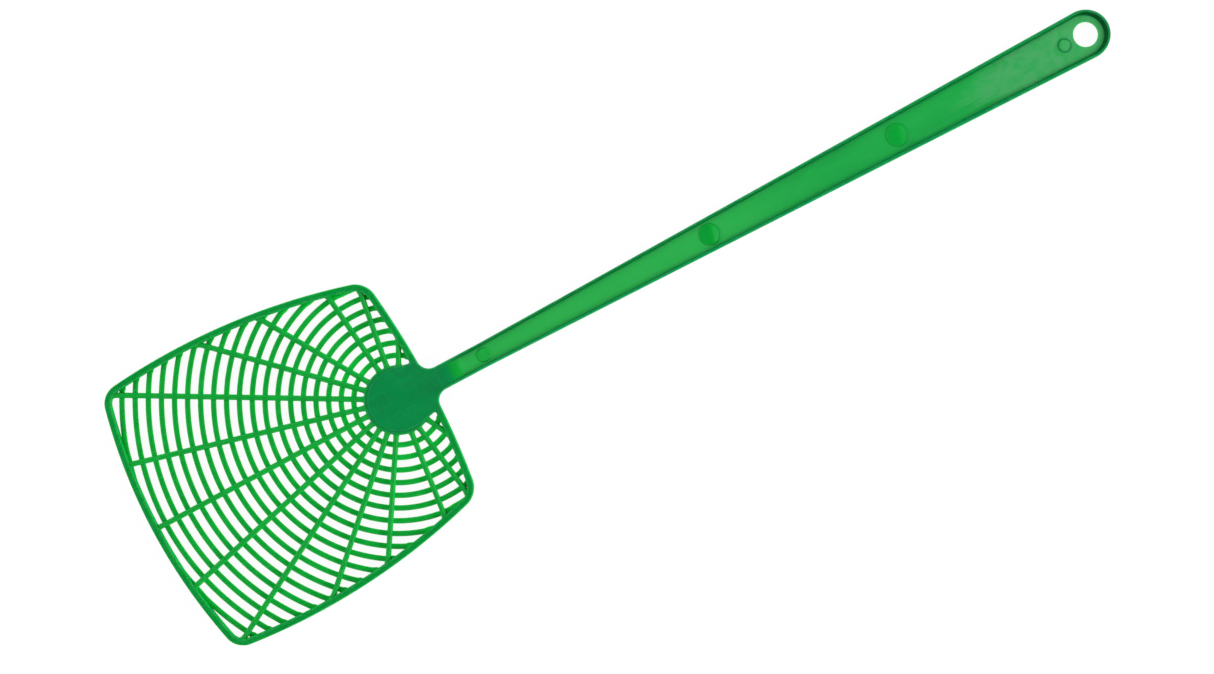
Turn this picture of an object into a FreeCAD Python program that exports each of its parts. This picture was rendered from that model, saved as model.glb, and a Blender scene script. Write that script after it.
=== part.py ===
import FreeCAD, Part
import math
import os

# A fly swatter moulded in one shot from translucent plastic, in millimetres.
#
# Frame: the origin is the centre of the hang hole, on the mould's parting plane (Z = 0).
# +X runs along the handle to the head, +Y across it, and +Z out of the face with the spokes.
# The moulding is divided into its members where one member ends against another, so every
# member below is a closed solid that touches its neighbours and shares no volume with them.
#
# Above the parting plane the head has spokes, and below it rings: each lies in its own half
# of the mould, and they are joined where they cross. The frame, hub and rims span both halves.

# ---- driving dimensions ------------------------------------------------------------------
HALF_THICKNESS = 2.4        # rims, neck, hub and frame reach this far either side of Z = 0
WALL_DRAFT = 0.25           # how far an outer wall leans in from Z = 0 to its rim

# Handle
END_RADIUS = 10.0           # rounded end, concentric with the hang hole
HANG_HOLE_RADIUS = 5.0
NECK_X = 273.0              # the handle tapers evenly from its end to here
NECK_HALF_WIDTH = 4.95
RIM_WIDTH_END = 1.7         # rim wall, measured at the web, beside the hang hole
RIM_WIDTH_NECK = 1.1        # and at the neck
POCKET_DRAFT_END = 0.65     # how much wider a pocket is at its mouth than at the web, per side
POCKET_DRAFT_NECK = 0.4
POCKET_END_X = 0.8          # centre of the pocket's round end at the web, so the rim is thicker there
POCKET_MOUTH_END_X = 0.2    # and at the mouth
WEB_HALF_THICKNESS = 0.7

# Neck
FLEX_START_X = 244.0        # the slender stretch that bends when the swatter hits something
FLEX_END_X = 280.0          # and where the pockets begin to ramp out into the solid neck
RAMP_LENGTH = 9.0
FLARE_RADIUS = 5.0          # concave corners between the neck and the head's near edge
FLARE_START_X = 286.0

# Ejector pads: place along the handle, and radius
EJECTOR_PADS = ((9.4, 2.9), (85.4, 4.6), (170.2, 4.35), (272.6, 2.8))
PAD_HEIGHT = 0.35
PAD_DRAFT = 0.2

# Hub
HUB_X = 311.2
HUB_RADIUS = 14.0
HUB_PAD_RADIUS = 12.3       # the raised middle of the hub, on both faces
HUB_STEP = 0.3

# Frame round the head: four large arcs with rounded corners
NEAR_EDGE_REACH = 14.1      # hub centre to the edge on the handle's side
NEAR_EDGE_RADIUS = 332.0
FAR_EDGE_REACH = 111.3
FAR_EDGE_RADIUS = 224.0
HEAD_HALF_WIDTH = 60.0
SIDE_WIDEST = 68.9          # how far past the hub the head is widest
SIDE_RADIUS = 268.0
NEAR_CORNER_RADIUS = 9.5
FAR_CORNER_RADIUS = 8.5
FRAME_WIDTH = 2.7           # at the parting plane
FRAME_BEVEL = 0.45

# Spokes and rings
RIB_WIDTH = 2.25
RIB_HEIGHT = 2.0            # spokes rise this far above Z = 0, rings go this far below it
RIB_SHOULDER = 1.3          # height at which a rib's flank turns into its rounded crown
RIB_SHOULDER_WIDTH = 1.8
SPOKE_ANGLES = (14.5, 29.0, 43.6, 58.3, 83.7, 98.5, 118.0)
RING_COUNT = 19
RING_FIRST_RADIUS = 17.95
RING_FIRST_GAP = 5.018      # between the first two rings' centre lines
RING_GAP_GROWTH = 0.0156    # and how much wider each later gap is than the one before it


def point(x, y, z=0.0):
    return FreeCAD.Vector(x, y, z)


def line(start, end):
    return Part.LineSegment(start, end).toShape()


def arc(start, middle, end):
    return Part.Arc(start, middle, end).toShape()


def mirrored_points(points):
    """The same points on the -Y side, in reverse order."""
    return [point(p.x, -p.y, p.z) for p in reversed(points)]


def layered(outline, layers):
    """A solid through outline(inset, z) for each (inset, z) of the layers, with straight walls between."""
    wires = [outline(inset, z) for inset, z in layers]
    return Part.makeLoft(wires, True, True)


def drafted(outline):
    """A solid over the full thickness whose walls lean in from the parting plane."""
    layers = ((WALL_DRAFT, -HALF_THICKNESS), (0.0, 0.0), (WALL_DRAFT, HALF_THICKNESS))
    return layered(outline, layers)


def without_crumbs(shape):
    """The largest solid, where a tangent cut has left specks beside it."""
    return max(shape.Solids, key=lambda solid: solid.Volume)


def slab(x_low, x_high):
    """A box that holds everything between two X planes."""
    reach = 100.0
    return Part.makeBox(x_high - x_low, 2 * reach, 2 * reach, point(x_low, -reach, -reach))


# ---- handle ------------------------------------------------------------------------------
def handle_outline(centre_x, end_radius, neck_half_width, x_end, z):
    """A round end about centre_x, sides that taper to the neck, and a straight neck."""
    length = NECK_X - centre_x
    taper = math.asin(end_radius / math.hypot(length, neck_half_width))
    taper -= math.atan2(neck_half_width, length)
    side = [
        point(centre_x + end_radius * math.sin(taper), end_radius * math.cos(taper), z),
        point(NECK_X, neck_half_width, z),
        point(x_end, neck_half_width, z),
    ]
    other = mirrored_points(side)
    edges = [
        line(side[0], side[1]),
        line(side[1], side[2]),
        line(side[2], other[0]),
        line(other[0], other[1]),
        line(other[1], other[2]),
        arc(other[2], point(centre_x - end_radius, 0, z), side[0]),
    ]
    return Part.Wire(edges)


def outer_handle_outline(inset, z):
    x_end = HUB_X - HUB_RADIUS - 4
    return handle_outline(0.0, END_RADIUS - inset, NECK_HALF_WIDTH - inset, x_end, z)


def pocket_outline(opening, z):
    """Opening 0 is where the rim meets the web, and 1 is the pocket's wider mouth."""
    centre_x = POCKET_END_X + opening * (POCKET_MOUTH_END_X - POCKET_END_X)
    end_radius = END_RADIUS - RIM_WIDTH_END + opening * POCKET_DRAFT_END
    neck_half_width = NECK_HALF_WIDTH - RIM_WIDTH_NECK + opening * POCKET_DRAFT_NECK
    return handle_outline(centre_x, end_radius, neck_half_width, FLEX_END_X + RAMP_LENGTH, z)


def upper_pocket():
    """The hollow above the web. It ramps out at the neck, where the handle turns solid."""
    mouth = HALF_THICKNESS
    hollow = layered(pocket_outline, ((0.0, WEB_HALF_THICKNESS), (1.0, mouth)))
    reach = 50.0
    profile = [
        point(-reach, -reach, WEB_HALF_THICKNESS),
        point(FLEX_END_X, -reach, WEB_HALF_THICKNESS),
        point(FLEX_END_X + RAMP_LENGTH, -reach, mouth),
        point(-reach, -reach, mouth),
    ]
    side_view = Part.Face(Part.makePolygon(profile + profile[:1]))
    return hollow.common(side_view.extrude(point(0, 2 * reach)))


def below(shape):
    """The shape turned over to the other side of the parting plane."""
    return shape.mirror(point(0, 0), point(0, 0, 1))


def web_plate():
    """The thin floor between the pockets, without the hang hole."""
    face = Part.Face(pocket_outline(0.0, -WEB_HALF_THICKNESS))
    return face.extrude(point(0, 0, 2 * WEB_HALF_THICKNESS))


def hang_hole():
    return Part.makeCylinder(HANG_HOLE_RADIUS, 2 * HALF_THICKNESS, point(0, 0, -HALF_THICKNESS))


def ejector_pad(x, radius):
    """A low round pad on the web, left by the pin that pushes the moulding out."""
    return Part.makeCone(radius, radius - PAD_DRAFT, PAD_HEIGHT, point(x, 0, WEB_HALF_THICKNESS))


def handle_members():
    """Rim and web of the handle, the same two for the slender stretch, and the solid neck stub."""
    body = drafted(outer_handle_outline)
    pocket = upper_pocket()
    body = body.cut(pocket).cut(below(pocket))
    plate = web_plate()
    rim = body.cut(plate)
    web = plate.cut(hang_hole())
    grip = slab(-2 * END_RADIUS, FLEX_START_X)
    flex = slab(FLEX_START_X, FLEX_END_X)
    members = {
        "handle_rim": rim.common(grip),
        "handle_web": web.common(grip),
        "neck_rims": rim.common(flex),
        "neck_web": web.common(flex),
    }
    for number, (x, radius) in enumerate(EJECTOR_PADS, 1):
        members["ejector_pad_%d" % number] = ejector_pad(x, radius)
    neck_stub = body.common(slab(FLEX_END_X, HUB_X))
    return members, neck_stub


# ---- hub ---------------------------------------------------------------------------------
def hub_disc():
    """A thick disc with a slightly raised middle on both faces."""
    ledge = HALF_THICKNESS - HUB_STEP
    half = [
        (0.0, HALF_THICKNESS),
        (HUB_PAD_RADIUS, HALF_THICKNESS),
        (HUB_PAD_RADIUS + HUB_STEP, ledge),
        (HUB_RADIUS - WALL_DRAFT, ledge),
        (HUB_RADIUS, 0.0),
    ]
    section = half + [(radius, -z) for radius, z in reversed(half[:-1])]
    points = [point(HUB_X + radius, 0, z) for radius, z in section]
    face = Part.Face(Part.makePolygon(points + points[:1]))
    return face.revolve(point(HUB_X, 0), point(0, 0, 1), 360)


def near_edge_x(y):
    """X of the frame's outer edge on the handle's side."""
    centre_x = HUB_X - NEAR_EDGE_REACH + NEAR_EDGE_RADIUS
    return centre_x - math.sqrt(NEAR_EDGE_RADIUS ** 2 - y ** 2)


def flare_outline(inset, z):
    """Neck, two concave corners into the near edge, and the gusset that runs out to the hub."""
    half = NECK_HALF_WIDTH - inset
    corner_y = NECK_HALF_WIDTH + FLARE_RADIUS
    corner_x = near_edge_x(corner_y) - FLARE_RADIUS
    radius = FLARE_RADIUS + inset
    diagonal = radius * math.sqrt(0.5)
    direction = math.radians(SPOKE_ANGLES[-1])
    hub_rim = HUB_RADIUS - inset
    hub_inside = HUB_PAD_RADIUS - 1.0
    gusset_x = HUB_X - NEAR_EDGE_REACH + FRAME_WIDTH
    side = [
        point(FLARE_START_X, half, z),
        point(corner_x, half, z),
        point(corner_x + diagonal, corner_y - diagonal, z),
        point(corner_x + radius, corner_y, z),
        point(gusset_x, corner_y + 0.7 - inset, z),
        point(HUB_X + hub_rim * math.cos(direction), hub_rim * math.sin(direction), z),
        point(HUB_X + hub_inside * math.cos(direction), hub_inside * math.sin(direction), z),
    ]
    other = mirrored_points(side)
    edges = [
        line(side[0], side[1]),
        arc(side[1], side[2], side[3]),
        line(side[3], side[4]),
        line(side[4], side[5]),
        line(side[5], side[6]),
        line(side[6], other[0]),
        line(other[0], other[1]),
        line(other[1], other[2]),
        line(other[2], other[3]),
        arc(other[3], other[4], other[5]),
        line(other[5], other[6]),
        line(other[6], side[0]),
    ]
    return Part.Wire(edges)


def neck_root(neck_stub, hub):
    """The solid end of the neck with its flares, up to the hub."""
    return neck_stub.fuse(drafted(flare_outline)).removeSplitter().cut(hub)


# ---- frame -------------------------------------------------------------------------------
def corner_centre(edge_x, edge_radius, side_x, side_y, corner_radius, towards):
    """Centre of the rounding that touches an end arc and a side arc from inside."""
    from_edge = edge_radius - corner_radius
    from_side = SIDE_RADIUS - corner_radius
    apart = math.hypot(side_x - edge_x, side_y)
    along = (from_edge ** 2 - from_side ** 2 + apart ** 2) / (2 * apart)
    across = math.sqrt(from_edge ** 2 - along ** 2)
    unit_x = (side_x - edge_x) / apart
    unit_y = side_y / apart
    first = point(edge_x + along * unit_x - across * unit_y, along * unit_y + across * unit_x)
    second = point(edge_x + along * unit_x + across * unit_y, along * unit_y - across * unit_x)
    return max((first, second), key=lambda p: p.x * towards)


def on_circle(centre, radius, towards, z):
    """The point of a circle that lies in the direction of another point."""
    direction = (towards - centre).normalize()
    return point(centre.x + radius * direction.x, centre.y + radius * direction.y, z)


def head_outline(inset, z):
    """The head's outline, moved inwards by the inset."""
    near_centre = point(HUB_X - NEAR_EDGE_REACH + NEAR_EDGE_RADIUS, 0)
    far_centre = point(HUB_X + FAR_EDGE_REACH - FAR_EDGE_RADIUS, 0)
    side_centre = point(HUB_X + SIDE_WIDEST, HEAD_HALF_WIDTH - SIDE_RADIUS)
    near_corner = corner_centre(near_centre.x, NEAR_EDGE_RADIUS, side_centre.x, side_centre.y,
                                NEAR_CORNER_RADIUS, -1)
    far_corner = corner_centre(far_centre.x, FAR_EDGE_RADIUS, side_centre.x, side_centre.y,
                               FAR_CORNER_RADIUS, 1)
    near_radius = NEAR_CORNER_RADIUS - inset
    far_radius = FAR_CORNER_RADIUS - inset
    near_apex = point(near_centre.x - NEAR_EDGE_RADIUS + inset, 0, z)
    near_end = on_circle(near_centre, NEAR_EDGE_RADIUS - inset, near_corner, z)
    side_start = on_circle(side_centre, SIDE_RADIUS - inset, near_corner, z)
    side_end = on_circle(side_centre, SIDE_RADIUS - inset, far_corner, z)
    far_end = on_circle(far_centre, FAR_EDGE_RADIUS - inset, far_corner, z)
    far_apex = point(far_centre.x + FAR_EDGE_RADIUS - inset, 0, z)
    near_middle = on_circle(near_corner, near_radius, (near_end + side_start) * 0.5, z)
    far_middle = on_circle(far_corner, far_radius, (far_end + side_end) * 0.5, z)
    side_middle = on_circle(side_centre, SIDE_RADIUS - inset, (side_start + side_end) * 0.5, z)
    upper = [near_end, near_middle, side_start, side_middle, side_end, far_middle, far_end]
    lower = mirrored_points(upper)
    edges = [
        arc(lower[6], near_apex, upper[0]),
        arc(upper[0], upper[1], upper[2]),
        arc(upper[2], upper[3], upper[4]),
        arc(upper[4], upper[5], upper[6]),
        arc(upper[6], far_apex, lower[0]),
        arc(lower[0], lower[1], lower[2]),
        arc(lower[2], lower[3], lower[4]),
        arc(lower[4], lower[5], lower[6]),
    ]
    return Part.Wire(edges)


def inside_head():
    """The room within the frame's band, where the spokes and rings run."""
    face = Part.Face(head_outline(FRAME_WIDTH, -HALF_THICKNESS))
    return face.extrude(point(0, 0, 2 * HALF_THICKNESS))


def frame_ring(room):
    """The band round the head. Its outer wall is drafted, and its edges are bevelled."""
    bevel_z = HALF_THICKNESS - FRAME_BEVEL
    top_inset = WALL_DRAFT + FRAME_BEVEL
    outer_layers = (
        (top_inset, -HALF_THICKNESS),
        (WALL_DRAFT, -bevel_z),
        (0.0, 0.0),
        (WALL_DRAFT, bevel_z),
        (top_inset, HALF_THICKNESS),
    )
    inner_bevel = ((FRAME_WIDTH, bevel_z), (FRAME_WIDTH - FRAME_BEVEL, HALF_THICKNESS))
    mouth = layered(head_outline, inner_bevel)
    return layered(head_outline, outer_layers).cut([room, mouth, below(mouth)])


# ---- spokes and rings --------------------------------------------------------------------
def rib_section(radius, side):
    """A rib's section at that distance from the hub's centre: flat on Z = 0, with a round crown."""
    centre = HUB_X + radius
    half = RIB_WIDTH / 2
    shoulder = RIB_SHOULDER_WIDTH / 2
    left = point(centre - half, 0)
    right = point(centre + half, 0)
    left_shoulder = point(centre - shoulder, 0, side * RIB_SHOULDER)
    right_shoulder = point(centre + shoulder, 0, side * RIB_SHOULDER)
    crown = point(centre, 0, side * RIB_HEIGHT)
    edges = [
        line(left, right),
        line(right, right_shoulder),
        arc(right_shoulder, crown, left_shoulder),
        line(left_shoulder, left),
    ]
    return Part.Face(Part.Wire(edges))


def spoke(angle):
    """A straight rib above the parting plane, from the hub's centre outwards at that angle."""
    length = FAR_EDGE_REACH + HEAD_HALF_WIDTH
    bar = rib_section(0.0, 1).extrude(point(0, length))
    bar.rotate(point(HUB_X, 0), point(0, 0, 1), angle - 90)
    return bar


def ring_radius(number):
    """Rings are numbered from 0, outwards. The gaps between them grow a little at every step."""
    growth = RING_GAP_GROWTH * number * (number - 1) / 2
    return RING_FIRST_RADIUS + RING_FIRST_GAP * number + growth


def ring(radius):
    """A full ring below the parting plane, centred on the hub."""
    return rib_section(radius, -1).revolve(point(HUB_X, 0), point(0, 0, 1), 360)


def rib_members(room, obstacles):
    """Every spoke and ring, cut to the room inside the frame and ended on the hub and neck."""
    ribs = {"spoke_centre": spoke(0)}
    for number, angle in enumerate(SPOKE_ANGLES, 1):
        ribs["spoke_left_%d" % number] = spoke(angle)
        ribs["spoke_right_%d" % number] = spoke(-angle)
    for number in range(RING_COUNT):
        ribs["ring_%02d" % (number + 1)] = ring(ring_radius(number))
    return {name: rib.common(room).cut(obstacles) for name, rib in ribs.items()}


# ---- assembly ----------------------------------------------------------------------------
def all_members():
    members, neck_stub = handle_members()
    hub = hub_disc()
    root = neck_root(neck_stub, hub)
    room = inside_head()
    frame = without_crumbs(frame_ring(room).cut([root, hub]))
    members["hub_disc"] = hub
    members["neck_root"] = root
    members["head_frame"] = frame
    members.update(rib_members(room, [hub, root]))
    return members


def write(members):
    os.makedirs("parts", exist_ok=True)
    for name, shape in members.items():
        solids = shape.Solids
        kept = solids[0] if len(solids) == 1 else Part.makeCompound(solids)
        kept.exportStep("parts/%s.step" % name)
        print("%-16s %2d solid(s) %9.1f mm3" % (name, len(solids), kept.Volume))


write(all_members())
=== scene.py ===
import bmesh
import bpy
import math
from mathutils import Euler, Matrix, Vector


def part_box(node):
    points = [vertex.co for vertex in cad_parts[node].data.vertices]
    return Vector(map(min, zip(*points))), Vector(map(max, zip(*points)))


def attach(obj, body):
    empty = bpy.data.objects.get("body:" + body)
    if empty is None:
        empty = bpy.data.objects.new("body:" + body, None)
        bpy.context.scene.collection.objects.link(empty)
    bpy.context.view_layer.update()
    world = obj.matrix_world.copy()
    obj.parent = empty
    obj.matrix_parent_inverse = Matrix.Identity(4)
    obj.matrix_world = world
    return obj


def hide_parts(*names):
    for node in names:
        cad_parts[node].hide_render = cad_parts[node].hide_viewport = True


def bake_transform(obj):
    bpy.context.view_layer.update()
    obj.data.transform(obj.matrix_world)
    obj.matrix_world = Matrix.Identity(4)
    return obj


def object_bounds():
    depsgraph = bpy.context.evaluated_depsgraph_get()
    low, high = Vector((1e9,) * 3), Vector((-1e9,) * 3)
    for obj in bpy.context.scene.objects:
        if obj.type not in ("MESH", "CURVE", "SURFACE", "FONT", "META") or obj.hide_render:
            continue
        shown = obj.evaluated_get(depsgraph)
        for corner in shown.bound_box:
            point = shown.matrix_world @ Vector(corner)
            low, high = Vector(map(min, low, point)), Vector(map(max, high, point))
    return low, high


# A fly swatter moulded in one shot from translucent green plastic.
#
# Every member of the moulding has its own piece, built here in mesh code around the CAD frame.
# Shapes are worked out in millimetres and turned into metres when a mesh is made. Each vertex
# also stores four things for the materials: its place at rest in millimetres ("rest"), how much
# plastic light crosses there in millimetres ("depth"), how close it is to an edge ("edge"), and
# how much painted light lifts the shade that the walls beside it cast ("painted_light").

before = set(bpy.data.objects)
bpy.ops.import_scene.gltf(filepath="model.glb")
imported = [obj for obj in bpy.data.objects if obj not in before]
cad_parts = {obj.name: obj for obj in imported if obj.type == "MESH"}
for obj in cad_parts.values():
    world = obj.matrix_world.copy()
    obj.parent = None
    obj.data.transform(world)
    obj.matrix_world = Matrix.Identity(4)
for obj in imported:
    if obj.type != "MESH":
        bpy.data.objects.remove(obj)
cad_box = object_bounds()

MM = 0.001


def box_mm(node):
    """The lowest and highest corner of a CAD node, in millimetres."""
    low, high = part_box(node)
    return low / MM, high / MM


# ---- places and sizes taken from the CAD frame ----
FLEX_LOW, FLEX_HIGH = box_mm("neck_rims")
HUB_LOW, HUB_HIGH = box_mm("hub_disc")
HEAD_LOW, HEAD_HIGH = box_mm("head_frame")
LAST_AXIS_RING = 17                 # the last ring that crosses the head's axis
RING_X = {number: box_mm("ring_%02d" % number)[1].x for number in (1, 2, LAST_AXIS_RING)}

TOP = HUB_HIGH.z                    # rims, neck, hub and frame reach this far either side
END_RADIUS = -box_mm("handle_rim")[0].x         # rounded end of the handle, about the hang hole
WEB_TOP = box_mm("handle_web")[1].z
FLEX_START = FLEX_LOW.x             # the slender stretch that bends
FLEX_END = FLEX_HIGH.x
HUB_X = (HUB_LOW.x + HUB_HIGH.x) / 2
HUB_RADIUS = (HUB_HIGH.x - HUB_LOW.x) / 2
HEAD_HALF_WIDTH = HEAD_HIGH.y

# ---- the moulding's own proportions, the same as in the CAD source ----
HANG_HOLE_RADIUS = 5.0
NECK_X = 273.0                      # the handle tapers evenly from its end to here
NECK_HALF_WIDTH = 4.95
RIM_WIDTH_END = 1.7                 # at the web, beside the hang hole
RIM_WIDTH_NECK = 1.1
POCKET_DRAFT_END = 0.65             # how much wider a pocket is at its mouth, per side
POCKET_DRAFT_NECK = 0.4
POCKET_END_X = 0.8                  # centre of the pocket's round end at the web
POCKET_MOUTH_END_X = 0.2            # and at its mouth
WALL_DRAFT = 0.25
RAMP_LENGTH = 9.0                   # where the pocket floor rises to the solid neck
FLARE_RADIUS = 5.0
HUB_PAD_RADIUS = 12.3
HUB_PAD_SPREAD = 1.05               # how much wider that is on the neck's side
HUB_STEP = 0.3
NEAR_EDGE_RADIUS = 332.0
FAR_EDGE_RADIUS = 224.0
SIDE_WIDEST = 68.9
SIDE_RADIUS = 268.0
NEAR_CORNER_RADIUS = 9.5
FAR_CORNER_RADIUS = 8.5
NEAR_CENTRE = (HEAD_LOW.x + NEAR_EDGE_RADIUS, 0.0)
FAR_CENTRE = (HEAD_HIGH.x - FAR_EDGE_RADIUS, 0.0)
SIDE_CENTRE = (HUB_X + SIDE_WIDEST, HEAD_HALF_WIDTH - SIDE_RADIUS)
FRAME_WIDTH = 2.7
RIB_WIDTH = 2.25
RIB_HEIGHT = 2.0
RIB_SHOULDER = 1.3
RIB_SHOULDER_WIDTH = 1.8
SPOKE_ANGLES = (14.5, 29.0, 43.6, 58.3, 83.7, 98.5, 118.0)
RING_COUNT = 19
RING_FIRST_RADIUS = RING_X[1] - HUB_X - RIB_WIDTH / 2
RING_FIRST_GAP = RING_X[2] - RING_X[1]
# Each gap between rings is a little wider than the last, always by the same amount.
GAPS = LAST_AXIS_RING - 1
RING_GAP_GROWTH = (RING_X[LAST_AXIS_RING] - RING_X[1] - GAPS * RING_FIRST_GAP) / (GAPS * (GAPS - 1) / 2)

# ---- how members meet ----
EDGE_ROUND = 0.24                   # rounding of the outer top and bottom edges
OUTER_LEAN = WALL_DRAFT * (TOP - EDGE_ROUND) / TOP      # of a wall, where the rounding starts
INNER_ROUND = 0.18                  # rounding of the pocket's mouth
FOOT_FILLET = 0.35                  # fillet between the pocket's wall and the web
FOOT_INTO_WALL = 0.08               # how far into the wall that fillet starts
LAP = 0.5                           # how far one member runs into its neighbour
FLASH = 0.03                        # the parting line's slight ridge
FLASH_HEIGHT = 0.07
WALL_BEND_HEIGHT = 0.95             # an outer wall leans more above here
WALL_BEND_LEAN = 0.1
SKIN = 0.006                        # one member stands this much proud where two lie flush
ROOT_START = FLEX_END + RAMP_LENGTH + 1.5
RIM_END = ROOT_START + 3.0
STUB_Y = 13.0                       # the neck's root holds the frame out to here
FRAME_START_Y = STUB_Y - 1.2
WEB_CROSS_X = 9.0                   # the web's mesh changes from round to straight here
HUB_LEDGE = TOP - HUB_STEP

# ---- how deep the plastic looks, which sets its shade ----
DEPTH_WEB = 1.4
DEPTH_RING = 2.2
DEPTH_SPOKE = 2.8
DEPTH_CROSSING = 3.2
DEPTH_FRAME = 4.0
DEPTH_SOLID = 4.8
DEPTH_RIM = 5.1
DEPTH_NECK_RIM = 5.8
DEPTH_OUTER_WALL = 6.0
# The pocket's wall is painted darker than its depth alone would make it, for the shade in the pocket, and
# darker still round the hang hole's end, for the shadow there.
DEPTH_WALL_AND_SHADE = 6.4                    # the pocket's wall, seen edge on
DEPTH_END_WALL_AND_SHADOW = 7.8                # and where it curves round the hang hole
# Painted light: the +Y rim is painted lighter, as if more light came through it.
DEPTH_PAINTED_LIT_SIDE = 5.0                # the +Y rim, which lets more light through

# Where the rim's depth changes along the handle, from and to: the round end's wall carries more painted
# shade than the side's, and past the hang hole the +Y rim is painted lighter.
END_SHADE_X = (-4.5, 4.5)           # from the round end's dark wall to the side's
LIT_X = (-20.0, 60.0)               # how the +Y rim lightens past the hang hole
NECK_SHADE_X = (140.0, 230.0)       # how the rim's top darkens towards the neck


def clamp(value):
    return max(0.0, min(1.0, value))


def smooth(value):
    """0 to 1 with a soft start and end."""
    value = clamp(value)
    return value * value * (3 - 2 * value)


def ease(value, low, high):
    """0 up to low, 1 from high on, and a soft change between them."""
    return smooth((value - low) / (high - low))


def mix(a, b, share):
    return a + (b - a) * share


def quarter_turns(first, count):
    """(i, angle) for steps of a quarter turn, from step first up to a full quarter."""
    return [(i, math.pi / 2 * i / count) for i in range(first, count + 1)]


def polar(centre_x, radius, angle):
    return (centre_x + radius * math.cos(angle), radius * math.sin(angle))


def arc_points(centre, radius, start, end, count):
    """count + 1 points of an arc, both ends included."""
    angles = [mix(start, end, i / count) for i in range(count + 1)]
    return [(centre[0] + radius * math.cos(a), centre[1] + radius * math.sin(a)) for a in angles]


# ---- mesh helpers ----
def add_object(name, data):
    """A Blender object that shows the data, linked into the scene."""
    thing = bpy.data.objects.new(name, data)
    bpy.context.scene.collection.objects.link(thing)
    return thing


class Shape:
    """Vertices in millimetres with their depth, edge and painted light values, and faces."""

    def __init__(self):
        self.points = []
        self.depth = []
        self.edge = []
        self.painted_light = []
        self.faces = []

    def add(self, x, y, z, depth, edge=0.0, painted_light=0.0):
        self.points.append((x, y, z))
        self.depth.append(depth)
        self.edge.append(edge)
        self.painted_light.append(painted_light)
        return len(self.points) - 1

    def row(self, section, place):
        """A vertex for each (offset, z, depth, edge). place(offset) gives its x and y."""
        return [self.add(*place(offset), z, *values) for offset, z, *values in section]

    def strip(self, row_a, row_b, closed=False):
        """Quads between two rows of vertex numbers of the same length."""
        last = len(row_a) if closed else len(row_a) - 1
        for i in range(last):
            j = (i + 1) % len(row_a)
            self.faces.append((row_a[i], row_a[j], row_b[j], row_b[i]))

    def sheet(self, rows, closed=False):
        """Quads between rows that follow one another."""
        for row_a, row_b in zip(rows, rows[1:]):
            self.strip(row_a, row_b, closed)

    def build(self, name, material, sharp_angle=50.0):
        """The Blender object, with outward normals and smooth shading."""
        mesh = bpy.data.meshes.new(name)
        mesh.from_pydata([(x * MM, y * MM, z * MM) for x, y, z in self.points], [], self.faces)
        flat = [value for place in self.points for value in place]
        mesh.attributes.new("rest", "FLOAT_VECTOR", "POINT").data.foreach_set("vector", flat)
        for key, values in (("depth", self.depth), ("edge", self.edge), ("painted_light", self.painted_light)):
            mesh.attributes.new(key, "FLOAT", "POINT").data.foreach_set("value", values)
        work = bmesh.new()
        work.from_mesh(mesh)
        bmesh.ops.recalc_face_normals(work, faces=work.faces)
        work.to_mesh(mesh)
        work.free()
        mesh.polygons.foreach_set("use_smooth", [True] * len(mesh.polygons))
        mesh.set_sharp_from_angle(angle=math.radians(sharp_angle))
        mesh.materials.append(material)
        mesh.update()
        return add_object(name, mesh)


def sweep(shape, rows):
    """Joins closed rows of vertices one after another, and caps both ends."""
    shape.sheet(rows, closed=True)
    shape.faces += [tuple(rows[0]), tuple(rows[-1])]


def lathe(shape, centre_x, section, count):
    """Turns a section of (radius, z, depth, edge) about a vertical axis. Radius 0 closes it."""
    rows = []
    for radius, z, *values in section:
        turns = [2 * math.pi * i / count for i in range(count if radius else 1)]
        rows.append([shape.add(*polar(centre_x, radius, turn), z, *values) for turn in turns])
    for row_a, row_b in zip(rows, rows[1:]):
        if len(row_a) == len(row_b):
            shape.strip(row_a, row_b, closed=True)
            continue
        (tip,), loop = sorted((row_a, row_b), key=len)
        for i in range(count):
            shape.faces.append((loop[i], loop[(i + 1) % count], tip))


def outer_wall(depths, top_depth):
    """(inset, z, depth, edge) up an outer wall from the parting line, and over its rounded top."""
    levels = (
        (-FLASH, 0.0, 0.1),
        (0.01, FLASH_HEIGHT, 0.0),
        (WALL_BEND_LEAN, WALL_BEND_HEIGHT, 0.0),
        (OUTER_LEAN, TOP - EDGE_ROUND, 0.1),
    )
    wall = [(inset, z, depth, edge) for (inset, z, edge), depth in zip(levels, depths)]
    for i, turn in quarter_turns(1, 4):
        inset = OUTER_LEAN + EDGE_ROUND * (1 - math.cos(turn))
        wall.append((inset, TOP - EDGE_ROUND * (1 - math.sin(turn)), top_depth, 0.5 - 0.1 * i))
    return wall


def with_mirror(half):
    """A closed section from its upper half, which runs from the outer parting line inwards."""
    return half + [(offset, -z, *values) for offset, z, *values in reversed(half[1:])]


# ---- handle ----
class Taper:
    """A rounded end about centre_x with straight sides that narrow to the neck."""

    def __init__(self, centre_x, end_radius, neck_half_width):
        length = NECK_X - centre_x
        self.centre_x = centre_x
        self.radius = end_radius
        self.neck = neck_half_width
        self.tilt = math.asin(end_radius / math.hypot(length, neck_half_width))
        self.tilt -= math.atan2(neck_half_width, length)
        self.start_x = centre_x + end_radius * math.sin(self.tilt)
        self.start_y = end_radius * math.cos(self.tilt)

    def half_width(self, x):
        if x >= NECK_X:
            return self.neck
        return mix(self.start_y, self.neck, (x - self.start_x) / (NECK_X - self.start_x))

    def reach(self, angle):
        """From the hang hole's centre to the rounded end, in that direction."""
        across = self.centre_x * math.sin(angle)
        return self.centre_x * math.cos(angle) + math.sqrt(self.radius ** 2 - across ** 2)


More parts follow.
